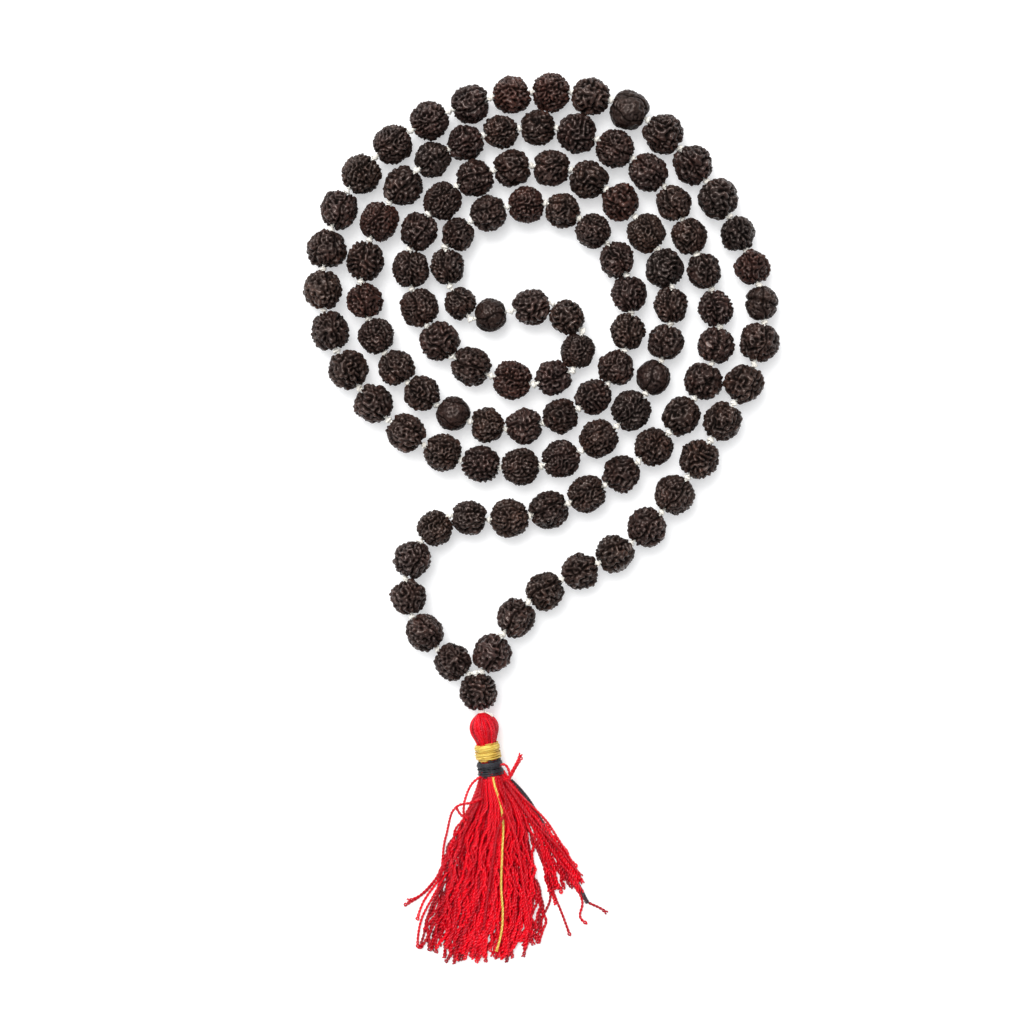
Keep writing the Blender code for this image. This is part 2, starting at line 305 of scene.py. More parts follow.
def string_knots():
    """Every knot of the string at z = 0, from before the first seed to after the last."""
    stops = [Vector((x, y, 0.0)) * MM for x, y, _ in ROUTE]
    handles = smooth_handles(stops)
    knots = [stops[0]]
    for i in range(len(stops) - 1):
        knots += smooth_span(stops, handles, i, ROUTE[i + 1][2] - ROUTE[i][2])
    return knots


def half_bend(knots, i):
    """The cosine of half the string's bend at knot i."""
    if i in (0, SEED_COUNT):
        return 1.0
    before, after = knots[i] - knots[i - 1], knots[i + 1] - knots[i]
    return cos(before.angle(after) / 2)


def seed_radii(knots):
    """The radius of each seed: it fills its pitch, and clears its neighbours at a bend."""
    radii = []
    for i in range(SEED_COUNT):
        pitch = (knots[i + 1] - knots[i]).length
        bend = min(half_bend(knots, i), half_bend(knots, i + 1))
        radii.append(min(SEED_FILL * pitch, LARGEST_SEED, pitch / 2 * bend - SEED_GAP))
    return radii


def raise_knots(knots, radii):
    """Lifts each knot so that the seeds on both its sides clear the table."""
    for i, knot in enumerate(knots):
        knot.z = max(radii[max(i - 1, 0)], radii[min(i, SEED_COUNT - 1)])


def even_points(stops, step):
    """Points about one step apart along the straight runs between the stops, as an array."""
    stops = np.array(stops, float)
    lengths = np.concatenate([[0.0], np.cumsum(np.linalg.norm(np.diff(stops, axis=0), axis=1))])
    goals = np.linspace(0.0, lengths[-1], max(2, round(lengths[-1] / step) + 1))
    return np.stack([np.interp(goals, lengths, stops[:, axis]) for axis in range(3)], axis=1)


def unit(vectors):
    """The vectors at length 1."""
    return vectors / np.maximum(np.linalg.norm(vectors, axis=-1, keepdims=True), 1e-12)


def frames(paths):
    """Two directions across each path at each of its points, carried along without twisting."""
    along = unit(np.gradient(paths, axis=1))
    first = np.where(np.abs(along[:, :1, 2:]) > 0.8, [[[1.0, 0.0, 0.0]]], [[[0.0, 0.0, 1.0]]])
    side = np.empty_like(paths)
    last = first[:, 0]
    for i in range(paths.shape[1]):
        tangent = along[:, i]
        last = unit(last - (last * tangent).sum(axis=1, keepdims=True) * tangent)
        side[:, i] = last
    return side, np.cross(along, side)


def distances(paths):
    """How far along its path each point is."""
    steps = np.linalg.norm(np.diff(paths, axis=1), axis=2)
    return np.concatenate([np.zeros((len(paths), 1)), np.cumsum(steps, axis=1)], axis=1)


PLY_OFFSET, PLY_RADIUS = 0.52, 0.5  # of a two-ply thread, as shares of its radius
FLARE_LENGTH = 0.9 * MM  # of a cut end, where the plies part


def plied_tubes(paths, radius, pitch, rng, sides=5, plies=2, flare=0.0, tone=0.7, contrast=0.0):
    """Twisted threads along the paths, of one radius or one for each point.

    With flare, the plies part towards the cut end. With contrast, the later plies are darker.
    """
    side, across = frames(paths)
    along = distances(paths)
    turn = 2 * pi * along / pitch + rng.uniform(0, 2 * pi, (len(paths), 1))
    from_end = along[:, -1:] - along
    opened = 1 + flare * np.exp(-((from_end / FLARE_LENGTH) ** 2))
    offset = (PLY_OFFSET * radius * opened)[..., None]
    found = []
    for ply in range(plies):
        angle = (turn + 2 * pi * ply / plies)[..., None]
        found.append(paths + offset * (np.cos(angle) * side + np.sin(angle) * across))
    shades = np.clip(rng.normal(tone, 0.2, len(paths)), 0.2, 1.0)
    thickness = np.tile(PLY_RADIUS * radius * opened**0.3, (plies, 1))
    shades = np.concatenate([shades * (1 - contrast * ply) for ply in range(plies)])
    return tubes(np.concatenate(found), thickness, sides, shades)


def tubes(paths, radii, sides, shades):
    """Closed round tubes along the paths: their points, faces and shades."""
    side, across = frames(paths)
    count, length = paths.shape[:2]
    angle = 2 * pi * np.arange(sides) / sides
    ring = (
        np.cos(angle)[:, None] * side[:, :, None, :] + np.sin(angle)[:, None] * across[:, :, None, :]
    )
    points = paths[:, :, None, :] + np.asarray(radii)[..., None, None] * ring
    index = np.arange(count * length * sides).reshape(count, length, sides)
    nearer, further = index[:, :-1], index[:, 1:]
    quads = np.stack(
        [nearer, np.roll(nearer, -1, axis=2), np.roll(further, -1, axis=2), further], axis=-1
    )
    caps = np.concatenate([index[:, 0, ::-1], index[:, -1]])
    faces = quads.reshape(-1, 4).tolist() + caps.tolist()
    return points.reshape(-1, 3), faces, np.repeat(shades, length * sides)


def add_threads(name, parts, material, body, replaces=()):
    """One piece made of several (points, faces, shades)."""
    faces, start = [], 0
    for points, theirs, _ in parts:
        faces += [[corner + start for corner in face] for face in theirs] if start else theirs
        start += len(points)
    mesh = bpy.data.meshes.new(name)
    mesh.from_pydata(np.concatenate([part[0] for part in parts]).tolist(), [], faces)
    layer = mesh.attributes.new("shade", "FLOAT", "POINT")
    layer.data.foreach_set("value", np.concatenate([part[2] for part in parts]).astype(np.float32))
    mesh.shade_smooth()
    return add_object(name, mesh, material, body, replaces)


def add_object(name, data, material, body, replaces=(), matrix=None):
    """Puts mesh data in the scene as a piece that rides on a body.

    In place of one body, (first, second, start, end) leaves the piece in place, with its placing
    applied to its points.
    """
    piece = bpy.data.objects.new(name, data)
    if not data.materials:
        data.materials.append(material)
    if matrix is not None:
        piece.matrix_world = matrix
    bpy.context.scene.collection.objects.link(piece)
    if isinstance(body, str):
        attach(piece, body)
    else:
        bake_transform(piece)
    if replaces:
        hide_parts(*replaces)
    return piece


# Seeds -------------------------------------------------------------------------------------


def patch_sphere():
    """A unit sphere of six square patches: its directions, faces, neighbours and pole shares.

    The pole share is the distance from the nearer pole as a share of the polar patch's half
    width, or 2 outside both polar patches. The rings around the poles are round.
    """
    work = bmesh.new()
    bmesh.ops.create_cube(work, size=2.0)
    bmesh.ops.subdivide_edges(work, edges=work.edges, cuts=PATCH_SIDE - 1, use_grid_fill=True)
    work.verts.index_update()
    cube = np.array([vert.co for vert in work.verts])
    quads = np.array([[vert.index for vert in face.verts] for face in work.faces])
    around = np.array([
        ([edge.other_vert(vert).index for edge in vert.link_edges] + [vert.index])[:4]
        for vert in work.verts
    ])
    work.free()
    polar = np.abs(cube[:, 2]) > 0.999
    share = np.where(polar, np.abs(cube[:, :2]).max(axis=1), 2.0)
    roundness = np.clip((1 - share) / (1 - BORE_RIM), 0.0, 1.0)[:, None] ** 2 * polar[:, None]
    flat = cube[:, :2]
    circle = flat / np.maximum(np.linalg.norm(flat, axis=1, keepdims=True), 1e-9) * share[:, None]
    cube[:, :2] = np.where(polar[:, None], flat + (circle - flat) * roundness, flat)
    return unit(np.tan(cube * pi / 4)), quads, around, share


def spread(field, around, times):
    """The field averaged with its neighbours, that many times."""
    for _ in range(times):
        field = 0.5 * field + 0.125 * field[around].sum(axis=1)
    return field


def worm_field(sphere, seed, near, far, lean, ring_share):
    """Short winding ridges, as -1 to 1: noise that is sharpened at one width until it settles."""
    directions, _, around, _ = sphere
    rng = np.random.default_rng(seed)
    centre = unit(rng.normal(size=3))
    rings = np.cos((directions @ centre) * rng.uniform(14, 20))
    field = rng.normal(size=len(directions)) + ring_share * rings
    for _ in range(SHARPENING_PASSES):
        fine = spread(field, around, near)
        change = fine - spread(fine, around, far)
        field = np.tanh(1.5 * (change / change.std() + lean))
    return spread(field, around, 1)


def mukhi_grooves(directions, seed):
    """The lines that run from pole to pole, as 0 to 1."""
    rng = np.random.default_rng(seed)
    angle = np.arctan2(directions[:, 1], directions[:, 0])
    width = np.maximum(np.hypot(directions[:, 0], directions[:, 1]), 0.05)
    found = np.zeros(len(directions))
    for line in range(MUKHI_LINES):
        at = 2 * pi * (line + rng.uniform(-0.12, 0.12)) / MUKHI_LINES
        wobble = 0.12 * np.sin(4 * directions[:, 2] + rng.uniform(0, 6))
        off = (angle - at - wobble + pi) % (2 * pi) - pi
        found = np.maximum(found, np.exp(-((off * width / MUKHI_WIDTH) ** 2)))
    return found


def knobbly_relief(sphere, seed):
    """A fresh seed's relief, with the unevenness and the knobs that it was made from."""
    directions, _, around, _ = sphere
    rng = np.random.default_rng(seed)
    near = int(rng.integers(3, 7))
    ring_share = rng.uniform(0.0, 0.25)
    worms = worm_field(sphere, seed, near, 2 * near + 3, rng.uniform(-0.25, 0.05), ring_share)
    uneven = spread(rng.normal(size=len(directions)), around, EVENING_PASSES)
    uneven = uneven / np.abs(uneven).max()
    knobs = spread(rng.normal(size=len(directions)), around, near + 3)
    knobs = np.tanh(knobs / knobs.std())
    winding = rng.uniform(0.24, 0.46)
    relief = np.clip(0.5 + winding * worms + (0.66 - winding) * knobs, 0.0, 1.15) ** 0.55
    return relief, uneven, knobs


def worn_relief(sphere, seed, relief, uneven, knobs, bareness):
    """The relief worn down in patches, which keep fine wrinkles."""
    wear = np.clip(0.5 + 1.2 * uneven + bareness, 0.0, 1.0)
    wrinkles = worm_field(sphere, seed + 50, 2, 6, 0.0, 0.3)
    return relief + (0.62 + 0.12 * knobs + 0.16 * wrinkles - relief) * wear * 0.8


def seed_shape(name, sphere, seed, kind, material):
    """One seed's mesh. Its kind is knobbly, smooth or lobed."""
    directions, quads, _, share = sphere
    relief, uneven, knobs = knobbly_relief(sphere, seed)
    depth = RIDGE_DEPTH
    if kind != "knobbly":
        bareness = 0.3 if kind == "smooth" else 0.1
        relief = worn_relief(sphere, seed, relief, uneven, knobs, bareness)
        depth = WORN_DEPTH
    relief = relief * (1 - 0.75 * mukhi_grooves(directions, seed)) * (0.9 + 0.1 * uneven)
    height = SEED + depth * (relief - RELIEF_AT_RADIUS) + UNEVENNESS * uneven
    if kind == "lobed":
        from_fold = directions @ unit(np.array(LOBE_TILT))
        height -= LOBE_DEPTH * np.exp(-((from_fold / 0.1) ** 2))
        # The fold is darkened in colour along a narrower line than its dent: partly the seed's own
        # darker colour, partly painted shade in the crease.
        relief = relief * (1 - 0.6 * np.exp(-((from_fold / 0.07) ** 2)))
    points = directions * height[:, None]
    points[:, 2] *= POLE_STRETCH
    from_axis = np.hypot(points[:, 0], points[:, 1])
    dimple = DIMPLE_DEPTH * np.exp(-((from_axis / DIMPLE_WIDTH) ** 2))
    points[:, 2] -= np.sign(points[:, 2]) * dimple
    return bored_mesh(name, points, relief, quads, share, material)


def bored_mesh(name, points, relief, quads, share, material):
    """Cuts the poles out of a closed seed and joins the two mouths with a bore."""
    kept = share > BORE_RIM - 1e-6
    renumbered = np.cumsum(kept) - 1
    outer = renumbered[quads[kept[quads].all(axis=1)]]
    rings, added = [], [points[kept]]
    for pole in (1, -1):
        edge = np.flatnonzero((np.abs(share - BORE_RIM) < 1e-6) & (np.sign(points[:, 2]) == pole))
        edge = edge[np.argsort(np.arctan2(points[edge, 1], points[edge, 0]))]
        level = points[edge, 2].mean() - pole * BORE_LIP
        inner = unit(points[edge] * [1, 1, 0]) * BORE + [0, 0, level]
        start = sum(len(part) for part in added)
        rings.append((renumbered[edge], start + np.arange(len(edge))))
        added.append(inner)
    loops = [rings[0][0], rings[0][1], rings[1][1], rings[1][0]]
    bore = [
        np.stack([np.roll(a, -1), a, b, np.roll(b, -1)], axis=1) for a, b in zip(loops, loops[1:])
    ]
    points = np.concatenate(added)
    faces = np.concatenate([outer, *bore])
    # The bore's inside takes a low relief, so it is coloured as dark as the grooves: partly painted
    # shade.
    values = np.concatenate([relief[kept], np.full(len(points) - kept.sum(), 0.1)])
    mesh = bpy.data.meshes.new(name)
    mesh.from_pydata(points.tolist(), [], faces.tolist())
    layer = mesh.attributes.new("relief", "FLOAT", "POINT")
    layer.data.foreach_set("value", values.astype(np.float32))
    mesh.materials.append(material)
    mesh.shade_smooth()
    return mesh


def body_of_seed(number):
    """The CAD body that a seed rides on, and the CAD node that it stands for."""
    if LEAD_RIGHT < number <= LEAD_LEFT:
        first = LEAD_RIGHT + 1 + (number - LEAD_RIGHT - 1) // STRAND_SEEDS * STRAND_SEEDS
        return "coil", f"bead_strand_{first:03}_{first + STRAND_SEEDS - 1:03}"
    return f"bead_{number:03}", f"bead_{number:03}"


# Seeds that differ from the rest, by their number along the string
SMOOTH_SEEDS, LOBED_SEEDS = {18, 39, 60, 76}, {12}
REDDISH_SEEDS = {13, 20, 21, 44, 55, 65, 80, 82}
BLACKISH_SEEDS = {14, 15, 38, 42, 84}
GREYISH_SEEDS = {12, 18}
CLOSE_SEEDS = {1, 36, 100, 105, 106, 108}  # they come nearest to another at a joint's limit
SEED_SIZE, CLOSE_SIZE = 0.98, 0.95  # of the frame's beads, to leave room for the ridges
GURU_WIDTH = 1.08  # the guru bead is wider than it is tall


def seed_tint(number, rng):
    """A seed's tone, as a factor on its colour."""
    tone = rng.uniform(0.85, 1.2)
    if number in REDDISH_SEEDS:
        return (1.45 * tone, 1.02 * tone, 0.92 * tone, 1)
    if number in BLACKISH_SEEDS:
        return (0.66 * tone, 0.74 * tone, 0.78 * tone, 1)
    if number in GREYISH_SEEDS:
        return (1.15 * tone, 1.28 * tone, 1.28 * tone, 1)
    return (tone, tone * rng.uniform(0.94, 1.02), tone * rng.uniform(0.9, 1.04), 1)


def place_seed(number, start, end, radius, shape, rng, body, node, width=1.0):
    """One seed between two knots, turned and flipped at random on the string."""
    stretch = [radius / SEED * rng.uniform(*share) for share in SEED_STRETCH]
    stretch[:2] = [width * across for across in stretch[:2]]
    spin = Matrix.Rotation(rng.uniform(0, 2 * pi), 4, "Z")
    flip = Matrix.Rotation(pi * int(rng.integers(0, 2)), 4, "X")
    stand = (end - start).to_track_quat("Z", "Y").to_matrix().to_4x4()
    size = Matrix.Diagonal((*stretch, 1))
    matrix = Matrix.Translation((start + end) / 2) @ stand @ spin @ flip @ size
    name = "seed_guru" if number == 0 else f"seed_{number:03}"
    piece = add_object(name, shape, None, body, (node,), matrix)
    piece.color = seed_tint(number, rng)


def make_seeds(knots, radii):
    """All 108 seeds and the guru bead, from a dozen shapes."""
    material = seed_material()
    sphere = patch_sphere()
    knobbly = [
        seed_shape(f"knobbly_{i}", sphere, 100 + i, "knobbly", material)
        for i in range(KNOBBLY_SHAPES)
    ]
    smooth = seed_shape("smooth", sphere, 201, "smooth", material)
    lobed = seed_shape("lobed", sphere, 202, "lobed", material)
    rng = np.random.default_rng(7)
    for number in range(1, SEED_COUNT + 1):
        shape = knobbly[int(rng.integers(KNOBBLY_SHAPES))]
        if number in SMOOTH_SEEDS:
            shape = smooth
        elif number in LOBED_SEEDS:
            shape = lobed
        start, end = knots[number - 1], knots[number]
        radius = radii[number - 1] * (CLOSE_SIZE if number in CLOSE_SEEDS else SEED_SIZE)
        place_seed(number, start, end, radius, shape, rng, *body_of_seed(number))
    place_seed(
        0, GURU_TOP, TASSEL_PIVOT, GURU_RADIUS * SEED_SIZE, knobbly[GURU_SHAPE], rng,
        "guru_bead", "guru_bead", GURU_WIDTH,
    )


# String ------------------------------------------------------------------------------------


STRING, STRING_PITCH = 0.42 * MM, 1.7 * MM  # its radius, and one turn of its twist
STRING_STEP = 0.2 * MM
KNOT_TURNS, KNOT_POINTS = 2.3, 44
KNOT_RADIUS, KNOT_UNEVENNESS = 0.56, 0.05  # in millimetres
KNOT_REACH, KNOT_SWAY = 0.34 * MM, 0.12 * MM  # along the string
KNOT_THREAD = 0.28 * MM


def make_string(knots, cotton):
    """The knotted cotton string, cut where the frame folds.

    Each run has its stops, body and nodes, and says whether its first and last stop have a knot.
    """
    to_guru = [*knots[FOLD_RIGHT::-1], GURU_TOP, TASSEL_PIVOT]
    runs = [
        ("string_coil", knots[LEAD_RIGHT : LEAD_LEFT + 1], "coil", (), True, True),
        ("string_lead_right", knots[LEAD_RIGHT : FOLD_RIGHT - 1 : -1], "lead_loop",
         ("lead_thread_right",), False, True),
        ("string_lead_left", knots[LEAD_LEFT : FOLD_LEFT + 1], "lead_loop",
         ("lead_thread_left",), False, True),
        ("string_guru_right", to_guru, "guru_end", ("guru_thread_right",), False, False),
        ("string_guru_left", [*knots[FOLD_LEFT:], GURU_TOP], "guru_end",
         ("guru_thread_left",), False, False),
    ]
    rng = np.random.default_rng(11)
    for name, stops, body, nodes, knot_first, knot_last in runs:
        path = even_points(stops, STRING_STEP)[None]
        inner = stops[0 if knot_first else 1 : None if knot_last else -1]
        threads = plied_tubes(path, STRING, STRING_PITCH, rng, sides=7)
        parts = [threads, knot_wraps(inner, stops, rng)]
        add_threads(name, parts, cotton, body, nodes)


def knot_wraps(places, stops, rng):
    """A small knot at each place: the string wound twice round itself and tucked in."""
    turn = np.linspace(0.0, 1.0, KNOT_POINTS)
    order = [tuple(stop) for stop in stops]
    paths = []
    for at in places:
        i = order.index(tuple(at))
        before, after = stops[max(i - 1, 0)], stops[min(i + 1, len(stops) - 1)]
        axis = np.array((after - before).normalized())
        axis = unit(axis + rng.normal(size=3) * 0.22)
        side = unit(np.cross(axis, unit(rng.normal(size=3))))
        across = np.cross(axis, side)
        tucked = np.sin(pi * np.clip(turn * 1.15 - 0.075, 0, 1)) ** 0.35
        out = (KNOT_RADIUS + KNOT_UNEVENNESS * rng.normal()) * MM * tucked
        angle = 2 * pi * KNOT_TURNS * turn
        shift = KNOT_REACH * (2 * turn - 1) + KNOT_SWAY * np.sin(angle + 1)
        paths.append(
            np.array(at)
            + shift[:, None] * axis
            + out[:, None] * (np.cos(angle)[:, None] * side + np.sin(angle)[:, None] * across)
        )
    paths = np.array(paths)
    thickness = np.full(paths.shape[:2], KNOT_THREAD)
    return tubes(paths, thickness, 8, rng.uniform(0.5, 1.0, len(paths)))


# Tassel ------------------------------------------------------------------------------------

THREAD = 0.33 * MM  # radius of a two-ply tassel thread
THREAD_PITCH = 1.6 * MM
THREAD_STEP = 0.21 * MM
AXIS = (SKIRT_TOP - TASSEL_PIVOT).normalized()
ACROSS = AXIS.cross(Vector((0, 0, 1))).normalized()
ABOVE = ACROSS.cross(AXIS)

# The head's outline in millimetres: distance along the axis from the pivot, and radius
HEAD_OUTLINE = [
    (0.55, 0.4), (0.7, 0.85), (1.05, 1.4), (1.5, 1.95), (2.1, 2.45), (3.3, 2.95), (4.6, 2.85),
    (6.0, 2.3), (7.0, 1.95), (8.2, 1.7), (11.2, 1.6), (14.6, 1.6),
]
HEAD_THREADS = 88
HEAD_THREAD, HEAD_PITCH = 0.21 * MM, 1.1 * MM
HEAD_STEP = 0.2 * MM
CORE_INSET = 0.14  # millimetres that the head's core lies below its threads
HEAD_BEND = (0.1, 1.5)  # distances along the axis that are given with the head's two bodies
GOLD_WRAP = (6.95, 10.9)
BLACK_WRAP = (10.65, 14.5)
BAND_RADIUS = 2.25
OVER_RADII, OVER_TURNS = (2.4, 2.72), 2.4  # of the lengths wound over a band
BAND_PITCH = 3.6  # one turn of a band thread's twist, in radii of the thread
TURN_POINTS = 26  # along each turn round the neck

# The two cut ends of the end knot: across, down and above, in millimetres from the pivot
KNOT_TIPS = ((2.4, -1.15, 0.6), (2.3, -1.0, -0.2))

# The skirt's main body: y, left edge, right edge, underside and top, in millimetres
FAN = [
    (-53.8, -13.5, -9.1, 0.9, 5.5),
    (-55.9, -13.7, -8.4, 0.5, 5.7),
    (-58.0, -14.3, -7.1, 0.3, 5.7),
    (-61.0, -15.2, -4.6, 0.3, 5.3),
    (-64.5, -17.2, -2.7, 0.3, 4.7),
    (-67.5, -18.8, -2.0, 0.3, 4.3),
    (-72.0, -20.6, -2.2, 0.3, 3.8),
    (-79.5, -22.7, -0.1, 0.3, 3.0),
    (-87.5, -25.0, 0.9, 0.3, 2.3),
    (-93.0, -26.2, -0.6, 0.3, 1.5),
    (-97.0, -26.6, -1.5, 0.3, 0.8),
]
FAN_THREADS = 185
FAN_CLUMPS = 24  # groups that the threads gather in towards their ends
FAN_END_RANGE = (-95.8, -82.0)
FAN_SETTLING = 0.3  # share of its length that a thread takes to settle on the table
FAN_POINTS, FLANK_POINTS = 190, 180  # along each thread
EASING_PASSES = 4
FLANK_THREADS = 26
FLANK_TOP = -54.0
SKIRT_PIECES = 6  # of the main body, from the lowest threads to the highest
LOOSENING = ([0.0, 0.12, 0.45, 1.0], [0.26, 0.28, 0.34, 0.38])  # share of length: radius in mm

# Stray threads, as points in millimetres
STRAYS = [
    # the tuft beside the black band
    [(-9.2, -55.6, 4.6), (-7.6, -55.3, 5.0), (-6.4, -53.4, 5.2), (-4.7, -50.1, 4.4)],
    [(-9.0, -56.0, 4.4), (-7.3, -55.4, 4.8), (-6.1, -53.5, 4.9), (-4.5, -50.8, 4.3)],
    [(-9.4, -52.6, 4.6), (-8.2, -52.4, 4.6), (-7.3, -53.6, 4.6), (-7.2, -55.4, 4.3)],
    # the arc and the loop on the left
    [(-12.9, -54.8, 4.6), (-14.9, -56.2, 4.4), (-16.3, -58.8, 3.4), (-17.0, -61.8, 2.4),
     (-16.9, -64.2, 1.8), (-16.2, -68.0, 1.6)],
    [(-13.0, -59.6, 5.0), (-15.2, -60.5, 5.0), (-17.9, -61.1, 4.4), (-19.4, -62.6, 3.4),
     (-20.1, -64.8, 2.2), (-20.6, -67.2, 1.4), (-21.2, -69.6, 0.7), (-21.6, -73.4, 0.4),
     (-22.2, -79.0, 0.4), (-24.0, -85.4, 0.4)],
    [(-18.5, -61.3, 4.2), (-18.1, -62.6, 3.8), (-17.3, -63.5, 3.6), (-15.8, -63.9, 3.8)],
    # the outermost ends on the left
    [(-19.6, -70.0, 1.2), (-22.0, -75.5, 0.6), (-24.6, -79.6, 0.4), (-27.6, -82.0, 0.4),
     (-29.9, -83.2, 0.4)],
    [(-18.8, -69.0, 1.4), (-21.4, -74.9, 0.9), (-24.0, -78.6, 0.7), (-27.0, -81.4, 0.5),
     (-29.2, -82.2, 0.5)],
    [(-19.8, -71.0, 0.9), (-22.6, -77.8, 0.5), (-25.9, -82.8, 0.4), (-27.1, -86.4, 0.4)],
    [(-20.6, -76.0, 1.4), (-23.6, -81.2, 0.8), (-26.2, -86.4, 0.5), (-27.0, -92.4, 0.4)],
    [(-20.2, -77.0, 1.8), (-24.4, -84.4, 0.9), (-25.4, -88.6, 0.5), (-26.6, -92.6, 0.4)],
    # the outermost ends on the right
    [(3.6, -74.0, 1.0), (7.4, -79.6, 0.6), (10.2, -82.8, 0.4), (12.0, -83.6, 0.4),
     (13.9, -84.9, 0.4)],
    [(2.2, -71.0, 1.2), (6.0, -77.4, 0.8), (8.6, -82.6, 0.5), (8.2, -86.0, 0.4),
     (9.6, -87.2, 0.4)],
    [(-1.4, -68.0, 1.4), (0.9, -73.4, 0.9), (2.3, -80.2, 0.5), (4.4, -85.6, 0.4),
     (5.9, -89.8, 0.4)],
    [(-3.4, -66.0, 1.8), (-0.4, -73.0, 0.9), (1.2, -77.6, 0.6), (1.6, -82.0, 0.4),
     (-0.2, -86.4, 0.4), (-0.6, -89.0, 0.4)],
    # over and beside the black threads
    [(-8.4, -55.0, 4.8), (-4.4, -59.5, 3.6), (-2.4, -61.5, 2.8), (0.6, -64.6, 2.1),
     (3.7, -69.4, 1.4), (6.4, -73.9, 1.0), (8.7, -78.4, 0.7)],
    [(-8.8, -55.2, 4.4), (-5.6, -60.2, 3.4), (-2.4, -64.6, 2.5), (0.9, -68.0, 2.0),
     (3.4, -70.6, 1.8), (6.0, -74.0, 1.3), (8.4, -76.9, 0.9)],
    [(-8.6, -55.2, 4.0), (-5.0, -60.6, 3.0), (-1.4, -65.8, 2.0), (1.6, -70.6, 1.5),
     (4.6, -74.8, 1.5), (6.5, -77.0, 1.3), (8.6, -80.4, 0.8)],
    # over the gold thread
    [(-10.2, -54.8, 5.7), (-9.5, -58.4, 6.3), (-8.8, -60.5, 6.8), (-7.5, -63.6, 6.2),
     (-5.8, -68.0, 4.9), (-4.8, -74.0, 3.7), (-4.0, -80.0, 2.8), (-2.6, -88.0, 1.8)],
    [(-9.2, -54.9, 5.6), (-8.2, -58.8, 6.1), (-8.0, -61.6, 6.5), (-8.6, -63.5, 6.6),
     (-9.7, -66.4, 5.8), (-10.6, -72.0, 4.8), (-11.8, -80.0, 3.7), (-12.8, -88.0, 2.5)],
]

# The free gold thread and the first of the two black ones, as in the frame
GOLD_STRAND = [
    (-10.6, -55.0, 5.9), (-10.4, -56.2, 6.4), (-9.1, -60.5, 6.0), (-8.5, -65.0, 5.3),
    (-8.7, -71.0, 4.5), (-8.9, -79.5, 3.7), (-8.6, -84.0, 3.3), (-8.8, -88.0, 2.9),
    (-10.0, -92.8, 2.3),
]
BLACK_STRAND = [
    (-7.1, -56.0, 2.6), (-3.7, -59.8, 1.6), (-1.0, -64.2, 0.9), (1.3, -68.4, 0.7),
    (4.2, -72.8, 0.6), (6.1, -76.2, 0.6), (9.5, -82.8, 0.6),
]
SECOND_BLACK_SHIFT = Vector((0.38, 0.16, 0.2)) * MM
GOLD_THREAD, BLACK_THREAD = 0.27 * MM, 0.25 * MM  # radii
LOOSE_PITCH = 1.2 * MM
FINE_STEP = 0.1 * MM


def curve_through(route, step):
    """Evenly spaced points on the smooth curve through a route given in millimetres."""
    stops = [Vector(point) * MM for point in route]
    handles = smooth_handles(stops)
    points = [stops[0]]
    for i in range(len(stops) - 1):
        points += smooth_span(stops, handles, i, SPAN_PARTS)
    return even_points(points, step)


def eased(paths, times):
    """The paths with their corners rounded, their ends kept."""
    for _ in range(times):
        paths[:, 1:-1] = (paths[:, :-2] + 2 * paths[:, 1:-1] + paths[:, 2:]) / 4
    return paths


def waves(rng, count, share, lengths, sizes):
    """Random waves along each of several threads, with the given numbers of turns and sizes."""
    total = np.zeros((count, len(share)))
    for turns, size in zip(lengths, sizes):
        phase = rng.uniform(0, 2 * pi, (count, 1))
        total += size * rng.uniform(0.5, 1.0, (count, 1)) * np.sin(
            2 * pi * turns * rng.uniform(0.8, 1.2, (count, 1)) * share + phase
        )
    return total


def fan_ends(rng, across, clump):
    """How far each thread of the main body reaches: its end's y, much the same in each clump."""
    last = -92.6 - 2.8 * (1 - across**2) + rng.normal(0, 0.8, FAN_CLUMPS)[clump]
    return np.clip(last + rng.gamma(1.3, 2.3, (FAN_THREADS, 1)), *FAN_END_RANGE)


def fan_heights(rng, share, spot, drift, loose, low, high):
    """The threads' z: round in section at the black band, then lying under a flat dome."""
    across, level = spot
    dome = np.sqrt(np.clip(1 - 0.9 * drift**2, 0.08, 1.0))
    height = (level / np.sqrt(np.maximum(1 - across**2, 0.02)) + 1) / 2
    ripples = loose * waves(rng, FAN_THREADS, share, (1.0, 4.0, 9.0), (0.2, 0.1, 0.1))
    height = np.clip(height + ripples, 0, 1)
    lying = low + (high - low) * dome * height
    bundled = (low + high) / 2 + (high - low) / 2 * level
    settle = np.clip(share / FAN_SETTLING, 0, 1)
    return bundled + (lying - bundled) * settle * settle * (3 - 2 * settle)


